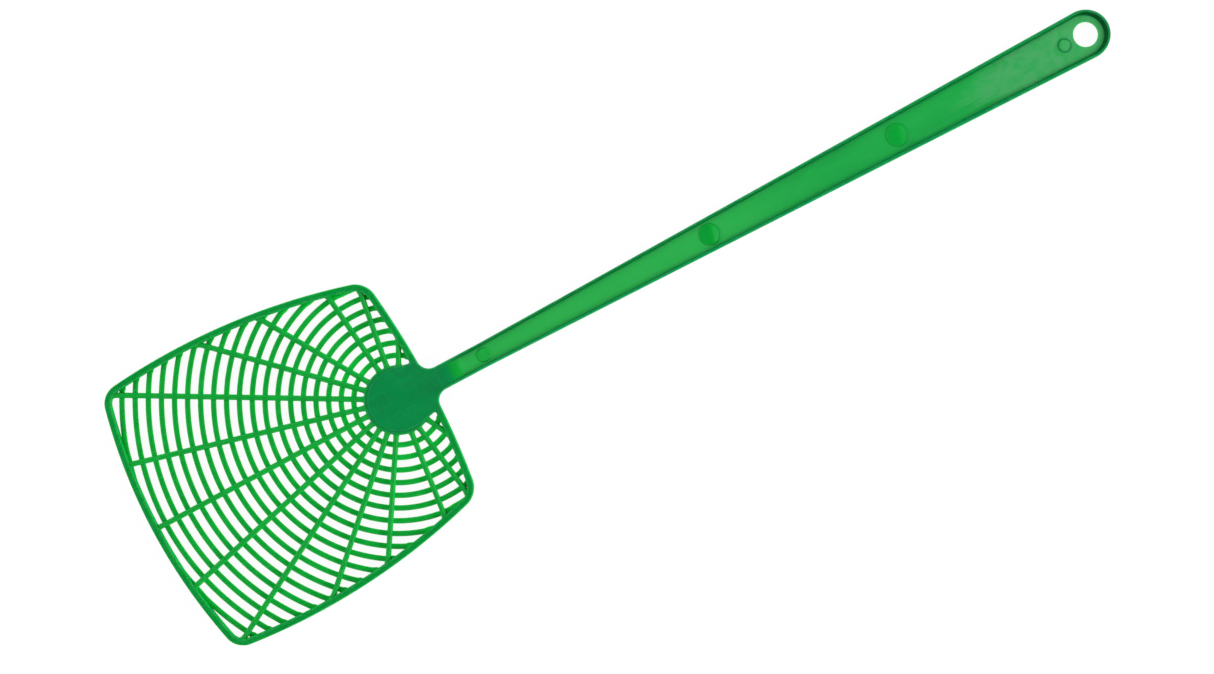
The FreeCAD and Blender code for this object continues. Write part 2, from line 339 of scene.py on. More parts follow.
OUTER = Taper(0.0, END_RADIUS, NECK_HALF_WIDTH)
POCKET = Taper(POCKET_END_X, END_RADIUS - RIM_WIDTH_END, NECK_HALF_WIDTH - RIM_WIDTH_NECK)
MOUTH = Taper(
    POCKET_MOUTH_END_X,
    POCKET.radius + POCKET_DRAFT_END,
    POCKET.neck + POCKET_DRAFT_NECK,
)


def solid_share(x):
    """0 where the handle has its pockets, and 1 where the neck has turned solid."""
    return ease(x, FLEX_END, FLEX_END + RAMP_LENGTH)


def pocket_floor(x):
    """Height of the web's upper face. It rises to the full height where the neck turns solid."""
    return mix(WEB_TOP, TOP - 0.01, solid_share(x))


def rim_section(x, side, foot, mouth):
    """(offset from the outer wall, z, depth, edge) of the rim at that place along the handle.

    side is 1 on the +Y side, -1 on the other and between them round the end. foot and mouth are
    how thick the rim is at the web and at its top.
    """
    floor = pocket_floor(x)
    # Painted light: past the hang hole the +Y rim is painted lighter; shade() mixes it in.
    lit = max(0.0, side) * ease(x, *LIT_X)

    def shade(deep):
        return mix(mix(deep, DEPTH_PAINTED_LIT_SIDE, lit), DEPTH_SOLID, solid_share(x))

    top_depth = shade(mix(DEPTH_RIM, DEPTH_NECK_RIM, ease(x, *NECK_SHADE_X)))
    # Painted shade: the pocket's wall is darker, most of all at the round end.
    wall_depth_and_shade = shade(mix(DEPTH_END_WALL_AND_SHADOW, DEPTH_WALL_AND_SHADE, ease(x, *END_SHADE_X)))
    half = outer_wall([shade(DEPTH_OUTER_WALL)] * 4, top_depth)
    half.append((mix(half[-1][0], mouth - INNER_ROUND, 0.5), TOP, top_depth, 0.15))
    rise = TOP - floor
    for i, turn in quarter_turns(0, 3):
        offset = mouth - INNER_ROUND * (1 - math.sin(turn))
        drop = INNER_ROUND * (1 - math.cos(turn)) * rise / (TOP - WEB_TOP)
        half.append((offset, TOP - drop, mix(top_depth, wall_depth_and_shade, i / 3), 0.7 - 0.2 * i))
    for i, turn in quarter_turns(0, 4):
        offset = foot - FOOT_INTO_WALL + FOOT_FILLET * (1 - math.cos(turn))
        height = FOOT_FILLET * (1 - math.sin(turn)) * rise / (TOP - WEB_TOP)
        half.append((offset, floor + SKIN + height, mix(wall_depth_and_shade, 4.0, (i / 4) ** 3), 0.0))
    half.append((half[-1][0] + 0.02, floor - 0.15, 3.0, 0.0))
    return with_mirror(half)


def side_stations():
    """Places along the straight side of the handle, from the neck to the rounded end."""
    stations = []
    x = RIM_END
    while x > OUTER.start_x + 2.0:
        stations.append(x)
        x -= 1.25 if x > FLEX_START - 3 else 3.5
    stations.append(OUTER.start_x + 1.2)
    return stations


def handle_rim(material):
    """The rim wall: up one side of the handle, round the hang hole, and down the other."""
    shape = Shape()
    rows = []
    sides = side_stations()

    def side_row(x, sign):
        outer = OUTER.half_width(x)
        section = rim_section(x, sign, outer - POCKET.half_width(x), outer - MOUTH.half_width(x))
        rows.append(shape.row(section, lambda inset: (x, sign * (outer - inset))))

    for x in sides:
        side_row(x, 1)
    turns = 72
    for i in range(turns + 1):
        angle = mix(math.pi / 2 - OUTER.tilt, 3 * math.pi / 2 + OUTER.tilt, i / turns)
        foot = END_RADIUS - POCKET.reach(angle)
        mouth = END_RADIUS - MOUTH.reach(angle)
        section = rim_section(END_RADIUS * math.cos(angle), math.sin(angle), foot, mouth)
        rows.append(shape.row(section, lambda inset: polar(0.0, END_RADIUS - inset, angle)))
    for x in reversed(sides):
        side_row(x, -1)
    sweep(shape, rows)
    return shape.build("handle_rim_wall", material)


def web_depth(x, across):
    """Depth of the web: thin in the open, deeper on the ramp and in the fillets at its sides."""
    ramp = ease(x, FLEX_END + RAMP_LENGTH / 6, FLEX_END + RAMP_LENGTH)
    side = clamp((abs(across) - 0.86) / 0.14) ** 2
    return mix(DEPTH_WEB + 0.5 * side, DEPTH_SOLID, ramp)


def web_stations():
    """Places along the web, closer together from the flexing stretch onwards."""
    coarse = 3.0
    fine_count = 56
    xs = [WEB_CROSS_X + coarse * i for i in range(int((FLEX_START - WEB_CROSS_X) / coarse))]
    last = xs[-1]
    return xs + [mix(last, RIM_END - 0.5, (i + 1) / fine_count) for i in range(fine_count)]


WEB_ACROSS = (-1.0, -0.94, -0.86, -0.6, -0.3, 0.0, 0.3, 0.6, 0.86, 0.94, 1.0)


def handle_web(material):
    """The thin floor of the handle, with the hang hole, and its ramp up to the solid neck."""
    shape = Shape()
    xs = web_stations()

    def row_at(x, side):
        half = POCKET.half_width(x) + LAP
        height = side * pocket_floor(x)
        return [shape.add(x, share * half, height, web_depth(x, share)) for share in WEB_ACROSS]

    upper = [row_at(x, 1) for x in xs]
    lower = [row_at(x, -1) for x in xs]
    shape.sheet(upper)
    shape.sheet(lower)
    for k in (0, -1):
        shape.strip([row[k] for row in upper], [row[k] for row in lower])
    shape.strip(upper[-1], lower[-1])

    web_round_hole(shape, upper[0], lower[0])
    return shape.build("handle_web_plate", material)


def hole_loop():
    """The web's outline round the hang hole, ended by the cross line. Returns it and that line's start."""
    side_xs = (2.0, 4.0, 5.8, 7.4)
    start, end = math.pi / 2 - POCKET.tilt, 3 * math.pi / 2 + POCKET.tilt
    loop = arc_points((POCKET.centre_x, 0.0), POCKET.radius + LAP, start, end, 64)
    loop += [(x, -POCKET.half_width(x) - LAP) for x in side_xs]
    cross_start = len(loop)
    half = POCKET.half_width(WEB_CROSS_X) + LAP
    loop += [(WEB_CROSS_X, share * half) for share in WEB_ACROSS]
    loop += [(x, POCKET.half_width(x) + LAP) for x in reversed(side_xs)]
    return loop, cross_start


# From the web's face into the hang hole: (outwards, share of the web's height, edge).
HOLE_EDGE = ((0.30, 1.0, 0.2), (0.12, 0.955, 0.8), (0.03, 0.84, 1.0), (0.0, 0.62, 0.6), (0.0, 0.0, 0.0))
HOLE_SPREAD = (1.0, 0.8, 0.6, 0.22)     # rows between the outline, 1, and the hole, 0


def hole_face_depth_and_shadow(x, share):
    """Depth of the web round the hang hole, painted dark at the foot of the pocket's round end for the
    shadow the rim casts there.
    """
    at_foot = ease(share, 0.6, 0.8)
    round_end = 1 - ease(x, -4.0, 2.0)
    return mix(DEPTH_WEB, mix(DEPTH_WEB + 0.5, DEPTH_WALL_AND_SHADE, round_end), at_foot)


def web_round_hole(shape, upper_cross, lower_cross):
    """Both faces of the web round the hang hole, and the hole's wall.

    The two rows given are where this patch joins the straight part of the web.
    """
    loop, cross_start = hole_loop()
    cross_end = cross_start + len(WEB_ACROSS)

    def rows_on(side, cross_row):
        rows = []
        for share in HOLE_SPREAD:
            row = []
            for k, (px, py) in enumerate(loop):
                if share == 1.0 and cross_start <= k < cross_end:
                    row.append(cross_row[k - cross_start])
                    continue
                reach = math.hypot(px, py)
                scale = mix(HANG_HOLE_RADIUS + HOLE_EDGE[0][0], reach, share) / reach
                depth = hole_face_depth_and_shadow(px, share)
                row.append(shape.add(px * scale, py * scale, side * WEB_TOP, depth))
            rows.append(row)
        # The last step, at the parting plane, is shared by both faces and comes from the upper one.
        for out, height, edge in HOLE_EDGE[: -1 if side < 0 else None]:
            row = []
            for px, py in loop:
                scale = (HANG_HOLE_RADIUS + out) / math.hypot(px, py)
                # Painted shade on the rounding into the hang hole, darkest at its bend.
                depth = DEPTH_WEB + 1.2 * edge
                row.append(shape.add(px * scale, py * scale, side * height * WEB_TOP, depth, edge))
            rows.append(row)
        return rows

    top_rows = rows_on(1, upper_cross)
    low_rows = rows_on(-1, lower_cross)
    shape.sheet(top_rows, closed=True)
    shape.sheet(low_rows, closed=True)
    shape.strip(top_rows[-1], low_rows[-1], closed=True)
    for k in range(len(loop)):
        if cross_start <= k < cross_end - 1:
            continue
        j = (k + 1) % len(loop)
        shape.faces.append((top_rows[0][k], top_rows[0][j], low_rows[0][j], low_rows[0][k]))


# For each ejector pad: how far its middle is sunk, how wide its lip is, the depth values of the lip
# and the middle, and how strong the painted highlight crescent is, for the two painted as standing askew.
PADS = {
    1: (0.16, 0.62, 5.4, 2.6, None),
    2: (0.07, 0.4, 4.4, 3.4, 3.2),
    3: (0.07, 0.4, 4.4, 3.4, 1.2),
    4: (0.07, 0.4, 2.6, 2.05, None),
}


def ejector_pad(number, material):
    """A low round pad left by an ejector pin, with a worn lip. The first is sunk deepest."""
    low, high = box_mm("ejector_pad_%d" % number)
    centre_x = (low.x + high.x) / 2
    radius = (high.x - low.x) / 2
    top = high.z
    sunk, lip, lip_depth, middle, rub_and_sheen = PADS[number]
    section = [(radius * share, top - sunk, middle, 0.0) for share in (0.0, 0.2, 0.35)]
    section += [
        (radius * 0.48, top - sunk * 0.98, middle, 0.0),
        (radius * 0.62, top - sunk * 0.97, middle, 0.0),
        (radius - lip - 0.25, top - sunk * 0.85, middle, 0.1),
        (radius - lip, top - sunk * 0.35, lip_depth, 0.5),
        (radius - lip + 0.12, top - 0.02, lip_depth, 0.8),
        (radius - 0.24, top, lip_depth, 0.8),
        (radius - 0.1, top - 0.05, lip_depth, 0.6),
        (radius - 0.03, top - 0.16, lip_depth, 0.2),
        (radius + 0.02, WEB_TOP + 0.08, lip_depth * 0.8, 0.0),
        (radius + 0.14, WEB_TOP + 0.01, 1.8, 0.0),
        (radius + 0.1, WEB_TOP - 0.2, 1.8, 0.0),
        (0.0, WEB_TOP - 0.2, 1.8, 0.0),
    ]
    shape = Shape()
    lathe(shape, centre_x, section, 72)
    if rub_and_sheen:
        paint_askew_light(shape, centre_x, radius, rub_and_sheen)
    return shape.build("ejector_pad_%d_dish" % number, material, 40.0)


def paint_askew_light(shape, centre_x, radius, rub_and_sheen):
    """Paints light and shade on a pad as if it stood a little askew.

    The side towards the hang hole is painted lighter, with a painted highlight crescent on it, and
    only that side has a clear outline of painted shade.
    """
    for k, (x, y, _) in enumerate(shape.points):
        out = math.hypot(x - centre_x, y) / radius
        aside = clamp((centre_x - x + 0.25 * y) / radius + 0.15)
        on_lip = ease(out, 0.86, 0.92)
        thinner = mix(DEPTH_WEB + 0.5, DEPTH_WEB + 2.6, on_lip)
        shape.depth[k] = mix(shape.depth[k] - 1.2 * on_lip, thinner, smooth(aside * 1.6))
        crescent = ease(out, 0.3, 0.5) * (1 - ease(out, 0.7, 0.84))
        # Painted highlight: the crescent goes into the edge value, which add_wear lightens.
        shape.edge[k] = max(shape.edge[k] * 0.4, rub_and_sheen * crescent * smooth(aside * 1.9 - 0.8))


# ---- neck root and hub ----
def near_edge_x(y):
    """X of the head's outer edge on the handle's side."""
    return NEAR_CENTRE[0] - math.sqrt(NEAR_EDGE_RADIUS ** 2 - y ** 2)


def hub_pad_radius(angle, level_radius):
    """The raised middle's edge: round on the head's side, and running out to the rim at the neck."""
    return level_radius + HUB_PAD_SPREAD * ease(math.degrees(angle), 92, SPOKE_ANGLES[-1])


def root_half_loop(inset, pad_radius):
    """The +Y half of the neck root's outline, from the neck's cut to the hub's far point."""
    half = NECK_HALF_WIDTH + SKIN - inset
    corner_y = NECK_HALF_WIDTH + FLARE_RADIUS
    corner_x = near_edge_x(corner_y) - FLARE_RADIUS
    flare = FLARE_RADIUS + inset - SKIN
    loop = [(ROOT_START, half), (mix(ROOT_START, corner_x, 0.5), half)]
    loop += arc_points((corner_x, corner_y), flare, -math.pi / 2, 0.0, 14)
    for y in (corner_y + 1.0, STUB_Y):
        loop.append((near_edge_x(y) + inset - SKIN, y))
    inner_x = near_edge_x(STUB_Y) + FRAME_WIDTH + SKIN - inset
    loop.append((inner_x, STUB_Y))
    # A rounded corner leads from the frame's inner wall into the gusset towards the hub.
    spoke_angle = math.radians(SPOKE_ANGLES[-1])
    gusset_foot = Vector((inner_x, corner_y + 0.7 - inset))
    gusset_end = Vector(polar(HUB_X, HUB_RADIUS - inset, spoke_angle))
    along = (gusset_end - gusset_foot).normalized()
    reach = 1.5
    start = gusset_foot + Vector((0, reach))
    end = gusset_foot + along * reach
    for i in range(7):
        t = i / 6
        spot = start * (1 - t) ** 2 + gusset_foot * 2 * t * (1 - t) + end * t ** 2
        loop.append((spot.x, spot.y))
    # Round the hub from the gusset to the far point on the axis.
    first = math.radians(SPOKE_ANGLES[-1] + 2)
    count = 40
    for i in range(count + 1):
        angle = mix(first, 0.0, i / count)
        loop.append(polar(HUB_X, hub_pad_radius(angle, pad_radius), angle))
    return loop


def root_depth(x, y):
    """The neck's root is deepest at the hub, and a little lighter out on the frame's stubs."""
    stub_y, stub_x, fade = 10.0, 304.0, 3.0
    stub = clamp((abs(y) - stub_y) / fade) * clamp((stub_x - x) / fade)
    return mix(DEPTH_SOLID, DEPTH_FRAME + 0.3, stub)


def neck_root(material):
    """The solid end of the neck, its flares into the frame, and the hub's raised middle."""
    # (inset, z, how much wider than its own radius the raised middle is, edge)
    levels = [
        (1.15, TOP + SKIN, -0.55, 0.0),
        (OUTER_LEAN + EDGE_ROUND, TOP + SKIN, -0.2, 0.3),
        (OUTER_LEAN + EDGE_ROUND * 0.62, TOP - EDGE_ROUND * 0.08, -0.08, 0.7),
        (OUTER_LEAN + EDGE_ROUND * 0.29, TOP - EDGE_ROUND * 0.29, 0.02, 0.8),
        (OUTER_LEAN + EDGE_ROUND * 0.08, TOP - EDGE_ROUND * 0.62, 0.12, 0.4),
        (OUTER_LEAN, TOP - EDGE_ROUND, 0.2, 0.1),
        (WALL_BEND_LEAN, WALL_BEND_HEIGHT, 0.2, 0.0),
        (0.01, FLASH_HEIGHT, 0.2, 0.0),
        (-FLASH, 0.0, 0.2, 0.2),
    ]
    lower = [(inset, -z, *values) for inset, z, *values in reversed(levels[:-1])]
    shape = Shape()
    rows = []
    for inset, z, wider, edge in levels + lower:
        half_loop = root_half_loop(inset, HUB_PAD_RADIUS + wider)
        mirrored = [(x, -y) for x, y in reversed(half_loop[:-1])]
        rows.append([shape.add(x, y, z, root_depth(x, y), edge) for x, y in half_loop + mirrored])
    sweep(shape, rows)
    return shape.build("neck_root_and_hub_pad", material)


def hub_disc(material):
    """The hub's outer disc, whose ledge shows round the raised middle."""
    wall = HUB_RADIUS - WALL_DRAFT * HUB_LEDGE / TOP
    half = [
        (HUB_RADIUS + FLASH, 0.0, 4.4, 0.2),
        (HUB_RADIUS - 0.01, FLASH_HEIGHT, 4.4, 0.0),
        (HUB_RADIUS - WALL_BEND_LEAN, WALL_BEND_HEIGHT, 4.2, 0.0),
        (wall, HUB_LEDGE - 0.3, 4.0, 0.3),
        (wall - 0.08, HUB_LEDGE - 0.1, 4.3, 0.9),
        (wall - 0.28, HUB_LEDGE, 4.4, 0.7),
        (wall - 0.5, HUB_LEDGE, 4.4, 0.0),
        (HUB_PAD_RADIUS + 0.35, HUB_LEDGE, 4.9, 0.0),
        (HUB_PAD_RADIUS + 0.16, HUB_LEDGE + 0.06, 5.6, 0.0),
        (HUB_PAD_RADIUS - 0.5, HUB_LEDGE + 0.06, 5.6, 0.0),
        (0.0, HUB_LEDGE + 0.06, 5.6, 0.0),
    ]
    lower = [(radius, -z, *values) for radius, z, *values in half[1:]]
    shape = Shape()
    lathe(shape, HUB_X, list(reversed(half)) + lower, 144)
    return shape.build("hub_ledge_disc", material)


# ---- frame round the head ----
def corner_centre(edge_x, edge_radius, corner_radius, towards):
    """Centre of the rounding that touches an end arc and the side arc from inside, with Y above 0.

    towards is -1 for the near end of the head and 1 for the far end.
    """
    side_x, side_y = SIDE_CENTRE
    from_edge = edge_radius - corner_radius
    from_side = SIDE_RADIUS - corner_radius
    apart = math.hypot(side_x - edge_x, side_y)
    along = (from_edge ** 2 - from_side ** 2 + apart ** 2) / (2 * apart)
    across = math.sqrt(from_edge ** 2 - along ** 2)
    unit_x = (side_x - edge_x) / apart
    unit_y = side_y / apart
    spots = [
        (edge_x + along * unit_x - aside * unit_y, along * unit_y + aside * unit_x)
        for aside in (across, -across)
    ]
    return max(spots, key=lambda spot: spot[0] * towards)


NEAR_CORNER = corner_centre(NEAR_CENTRE[0], NEAR_EDGE_RADIUS, NEAR_CORNER_RADIUS, -1)
FAR_CORNER = corner_centre(FAR_CENTRE[0], FAR_EDGE_RADIUS, FAR_CORNER_RADIUS, 1)


def direction(centre, towards):
    return math.atan2(towards[1] - centre[1], towards[0] - centre[0])


def head_depth(x, y):
    """How far a point lies inside the head's outline. Negative outside it."""
    y = abs(y)
    near = NEAR_EDGE_RADIUS - math.hypot(x - NEAR_CENTRE[0], y)
    far = FAR_EDGE_RADIUS - math.hypot(x - FAR_CENTRE[0], y)
    side = SIDE_RADIUS - math.hypot(x - SIDE_CENTRE[0], y - SIDE_CENTRE[1])
    if near < NEAR_CORNER_RADIUS and side < NEAR_CORNER_RADIUS:
        return NEAR_CORNER_RADIUS - math.hypot(x - NEAR_CORNER[0], y - NEAR_CORNER[1])
    if far < FAR_CORNER_RADIUS and side < FAR_CORNER_RADIUS:
        return FAR_CORNER_RADIUS - math.hypot(x - FAR_CORNER[0], y - FAR_CORNER[1])
    return min(near, far, side)


def head_outline_stations():
    """(x, y, inward x, inward y) along the +Y half of the outline, from the neck to the far point."""
    near_side = direction(NEAR_CENTRE, NEAR_CORNER)
    side_near = direction(SIDE_CENTRE, NEAR_CORNER)
    side_far = direction(SIDE_CENTRE, FAR_CORNER)
    far_side = direction(FAR_CENTRE, FAR_CORNER)
    near_start = math.pi - math.asin(FRAME_START_Y / NEAR_EDGE_RADIUS)
    arcs = (
        (NEAR_CENTRE, NEAR_EDGE_RADIUS, near_start, near_side, 20),
        (NEAR_CORNER, NEAR_CORNER_RADIUS, near_side, side_near, 18),
        (SIDE_CENTRE, SIDE_RADIUS, side_near, side_far, 60),
        (FAR_CORNER, FAR_CORNER_RADIUS, side_far, far_side, 18),
        (FAR_CENTRE, FAR_EDGE_RADIUS, far_side, 0.0, 36),
    )
    stations = []
    for centre, radius, start, end, count in arcs:
        for i in range(1 if stations else 0, count + 1):
            angle = mix(start, end, i / count)
            x = centre[0] + radius * math.cos(angle)
            y = centre[1] + radius * math.sin(angle)
            stations.append((x, y, -math.cos(angle), -math.sin(angle)))
    return stations


def frame_section():
    """(inset, z, depth, edge) of the frame's band, with rounded edges."""
    half = outer_wall((4.8, 4.8, 4.6, 4.4), DEPTH_FRAME)
    half.append((FRAME_WIDTH / 2 + 0.1, TOP, DEPTH_FRAME + 0.5, 0.0))
    for i, turn in quarter_turns(0, 4):
        inset = FRAME_WIDTH - EDGE_ROUND * (1 - math.sin(turn))
        height = TOP - EDGE_ROUND * (1 - math.cos(turn))
        half.append((inset, height, DEPTH_FRAME, 0.7 - 0.15 * i))
    half.append((FRAME_WIDTH + 0.03, 0.9, 3.6, 0.0))
    half.append((FRAME_WIDTH + 0.08, 0.05, 3.4, 0.0))
    return with_mirror(half)


def head_frame(material):
    """The band round the head. Both its ends are held in the neck's root."""
    shape = Shape()
    upper = head_outline_stations()
    lower = [(x, -y, nx, -ny) for x, y, nx, ny in reversed(upper[:-1])]
    section = frame_section()
    rows = []
    for x, y, nx, ny in upper + lower:
        rows.append(shape.row(section, lambda inset: (x + nx * inset, y + ny * inset)))
    sweep(shape, rows)
    return shape.build("head_frame_band", material)


# ---- spokes and rings ----
def rib_section(side):
    """(offset, z, depth change, edge) of a rib: nearly flat at the parting plane, round crown."""
    half = RIB_WIDTH / 2
    shoulder = RIB_SHOULDER_WIDTH / 2
    rise = RIB_HEIGHT - RIB_SHOULDER
    crown_radius = (shoulder ** 2 + rise ** 2) / (2 * rise)
    crown_centre = RIB_HEIGHT - crown_radius
    first = math.asin((RIB_SHOULDER - crown_centre) / crown_radius)
    right = [(half - 0.16, -0.06, 0.3, 0.5), (half - 0.02, 0.04, 0.1, 0.8), (half, 0.16, 0.0, 0.3)]
    for i in range(5):
        turn = mix(first, math.pi / 2, i / 5)
        spot = (crown_radius * math.cos(turn), crown_centre + crown_radius * math.sin(turn))
        right.append((spot[0], spot[1], 0.08 * i, 0.06 * i))
    left = [(-offset, z, *values) for offset, z, *values in reversed(right)]
    loop = right + [(0.0, RIB_HEIGHT, 0.4, 0.25)] + left + [(0.0, -0.06, 0.4, 0.0)]
    return [(offset, z * side, *values) for offset, z, *values in loop]


def ring_radius(number):
    """Rings are numbered from 1, outwards."""
    steps = number - 1
    return RING_FIRST_RADIUS + RING_FIRST_GAP * steps + RING_GAP_GROWTH * steps * (steps - 1) / 2


def off_ring(x, y):
    """How far a point lies from the nearest ring's centre line."""
    radius = math.hypot(x - HUB_X, y)
    return min(abs(radius - ring_radius(number)) for number in range(1, RING_COUNT + 1))


def off_spoke(x, y):
    """How far a point lies from the nearest spoke's centre line."""
    radius = math.hypot(x - HUB_X, y)
    angle = abs(math.degrees(math.atan2(y, x - HUB_X)))
    return math.radians(min(abs(angle - a) for a in (0.0,) + SPOKE_ANGLES)) * radius


def near_crossing(x, y):
    """1 where a spoke and a ring cross, falling to 0 beside the crossing."""
    half = RIB_WIDTH / 2
    on_ring = 1 - clamp((off_ring(x, y) - half) / 0.5)
    on_spoke = 1 - clamp((off_spoke(x, y) - half) / 0.5)
    return on_ring * on_spoke


# How far painted light reaches a ring from the frame, the hub and the spokes beside it, lifting the shade
# they cast.
FRAME_GLOW = 4.5
HUB_GLOW = 18.0
SPOKE_GLOW = 2.5


def painted_light_from_walls(x, y):
    """Painted light on a ring beside the spokes, the frame and the hub that stand over it, lifting the
    shade they cast on it.
    """
    to_frame = head_depth(x, y) - FRAME_WIDTH
    to_hub = math.hypot(x - HUB_X, y) - HUB_RADIUS
    to_spoke = off_spoke(x, y) - RIB_WIDTH / 2
    near_frame = 1 - clamp(to_frame / FRAME_GLOW)
    near_hub = 1 - clamp(to_hub / HUB_GLOW)
    near_spoke = 1 - clamp(to_spoke / SPOKE_GLOW)
    from_frame = mix(0.9, 0.35, ease(x, HUB_X, HUB_X + 60.0))
    return from_frame * near_frame ** 2 + 0.75 * near_hub + 0.7 * near_spoke ** 2


def root_flare(x, y):
    """How much a rib widens where it grows out of the hub or the frame."""
    to_frame = head_depth(x, y) - FRAME_WIDTH
    to_hub = math.hypot(x - HUB_X, y) - HUB_RADIUS
    nearest = max(0.0, min(to_frame, to_hub))
    return 0.32 * max(0.0, 1 - nearest / 0.9) ** 2


def rib_row(shape, section, x, y, side_x, side_y, base_depth, painted_light=0.0):
    """One station of a rib. (side_x, side_y) points across it."""
    flare = root_flare(x, y)
    row = []
    for offset, z, depth, edge in section:
        reach = offset + math.copysign(flare, offset) if offset else 0.0
        px = x + side_x * reach
        py = y + side_y * reach
        deep = mix(base_depth + depth, DEPTH_CROSSING + depth, near_crossing(px, py))
        row.append(shape.add(px, py, z, deep, edge, painted_light))
    return row


def spoke(name, angle_degrees, material):
    """A straight rib above the parting plane, from inside the hub to inside the frame."""
    angle = math.radians(angle_degrees)
    section = rib_section(1)
    radius = HUB_RADIUS - 1.6
    across = (-math.sin(angle), math.cos(angle))
    shape = Shape()
    rows = []
    while head_depth(*polar(HUB_X, radius, angle)) >= FRAME_WIDTH / 2:
        rows.append(rib_row(shape, section, *polar(HUB_X, radius, angle), *across, DEPTH_SPOKE))
        radius += RING_FIRST_GAP / 8
    sweep(shape, rows)
    return shape.build(name, material)


def ring_spans(radius):
    """The stretches of a ring that lie inside the frame, as (first angle, last angle)."""
    step = math.radians(0.25)
    angles = [-math.pi + i * step for i in range(round(2 * math.pi / step))]
    inside = [head_depth(*polar(HUB_X, radius, angle)) > FRAME_WIDTH / 2 for angle in angles]
    spans = []
    start = None
    for angle, now, after in zip(angles, inside, inside[1:] + [False]):
        if now and start is None:
            start = angle
        if now and not after:
            spans.append((start, angle))
            start = None
    return spans


def ring(number, material):
    """A round rib below the parting plane, centred on the hub and ended in the frame."""
    radius = ring_radius(number)
    section = rib_section(-1)
    shape = Shape()
    for first, last in ring_spans(radius):
        count = max(6, round((last - first) * radius / 0.8))
        rows = []
        for i in range(count + 1):
            angle = mix(first, last, i / count)
            x, y = polar(HUB_X, radius, angle)
            across = (math.cos(angle), math.sin(angle))
            rows.append(rib_row(shape, section, x, y, *across, DEPTH_RING, painted_light_from_walls(x, y)))
        sweep(shape, rows)
    return shape.build("ring_%02d_rib" % number, material)


# ---- materials ----
def linear(red, green, blue):
    """An sRGB colour, 0 to 255, as the linear colour that nodes take."""
    values = []
    for channel in (red, green, blue):
        c = channel / 255
        values.append(c / 12.92 if c <= 0.04045 else ((c + 0.055) / 1.055) ** 2.4)
    return (*values, 1.0)


class Nodes:
    """Short calls for building a node tree."""

    def __init__(self, tree):
        self.tree = tree

    def add(self, kind, settings=None, **inputs):
        made = self.tree.nodes.new(kind)
        for key, value in (settings or {}).items():
            setattr(made, key, value)
        for key, value in inputs.items():
            self.feed(made, key.replace("_", " "), value)
        return made

    def feed(self, made, socket, value):
        target = made.inputs[socket]
        if isinstance(value, bpy.types.NodeSocket):
            self.tree.links.new(value, target)
        else:
            target.default_value = value

    def stored(self, name, output):
        """A value that the mesh stores on its points."""
        return self.add("ShaderNodeAttribute", {"attribute_name": name}).outputs[output]

    def math(self, operation, a, b=0.0):
        made = self.add("ShaderNodeMath", {"operation": operation})
        self.feed(made, 0, a)
        self.feed(made, 1, b)
        return made.outputs[0]

    def plus(self, a, b):
        return self.math("ADD", a, b)

    def times(self, a, b):
        return self.math("MULTIPLY", a, b)

    def between(self, value, low, high, out_low=0.0, out_high=1.0):
        """Maps low..high to out_low..out_high with a soft start and end."""
        ranges = {"From_Min": low, "From_Max": high, "To_Min": out_low, "To_Max": out_high}
        soft = {"interpolation_type": "SMOOTHSTEP"}
        return self.add("ShaderNodeMapRange", soft, Value=value, **ranges).outputs["Result"]

    def blend(self, share, a, b):
        """Colour a, with that share of colour b. Sockets 0, 6 and 7 are the colour mix's own."""
        made = self.add("ShaderNodeMix", {"data_type": "RGBA"})
        self.feed(made, 0, share)
        self.feed(made, 6, a)
        self.feed(made, 7, b)
        return made.outputs[2]

    def noise(self, place, stretch, detail, roughness, turn=(0, 0, 0), distortion=0.0):
        """Noise over the rest position in millimetres; stretch is features per millimetre."""
        mapped = self.add("ShaderNodeMapping", Vector=place, Rotation=turn, Scale=stretch)
        kind = {"Scale": 1.0, "Detail": detail, "Roughness": roughness, "Distortion": distortion}
        return self.add("ShaderNodeTexNoise", Vector=mapped.outputs[0], **kind).outputs["Fac"]


def new_material(name):
    """An empty node material, and the calls that fill it."""
    material = bpy.data.materials.new(name)
    material.use_nodes = True
    material.node_tree.nodes.clear()
    return material, Nodes(material.node_tree)


# The plastic's colour at each depth of material, in millimetres. The two deepest stops give the pocket's
# walls their painted shade.
DEPTH_STOPS = (
    (1.4, linear(36, 176, 82)),
    (2.2, linear(6, 178, 60)),
    (3.2, linear(5, 168, 58)),
    (4.2, linear(5, 158, 60)),
    (4.9, linear(6, 145, 80)),
    (6.4, linear(2, 112, 46)),
    (7.8, linear(1, 86, 34)),
)
DEPTH_RANGE = 8.0
MOTTLED_GREEN = linear(24, 128, 76)
ROOT_GREEN = linear(24, 130, 74)
FLOW_MARK_AND_SHEEN_GREEN = linear(84, 178, 112)
LIGHT_GREEN = linear(54, 188, 90)
WORN_AND_SHEEN_GREEN = linear(70, 176, 112)
SCORED_GREEN = linear(120, 200, 150)


class Look:
    """The plastic's colour and roughness as they build up, and what each point stores."""

    def __init__(self, n, base_roughness):
        self.n = n
        self.place = n.stored("rest", "Vector")
        self.depth = n.stored("depth", "Fac")
        self.edge = n.stored("edge", "Fac")
        self.painted_light = n.stored("painted_light", "Fac")
        parts = n.add("ShaderNodeSeparateXYZ", Vector=self.place)
        self.x = parts.outputs["X"]
        self.y = parts.outputs["Y"]
        self.colour = None
        self.roughness = base_roughness

    def tint(self, share, colour):
        self.colour = self.n.blend(share, self.colour, colour)

    def roughen(self, share, amount):
        self.roughness = self.n.plus(self.roughness, self.n.times(share, amount))


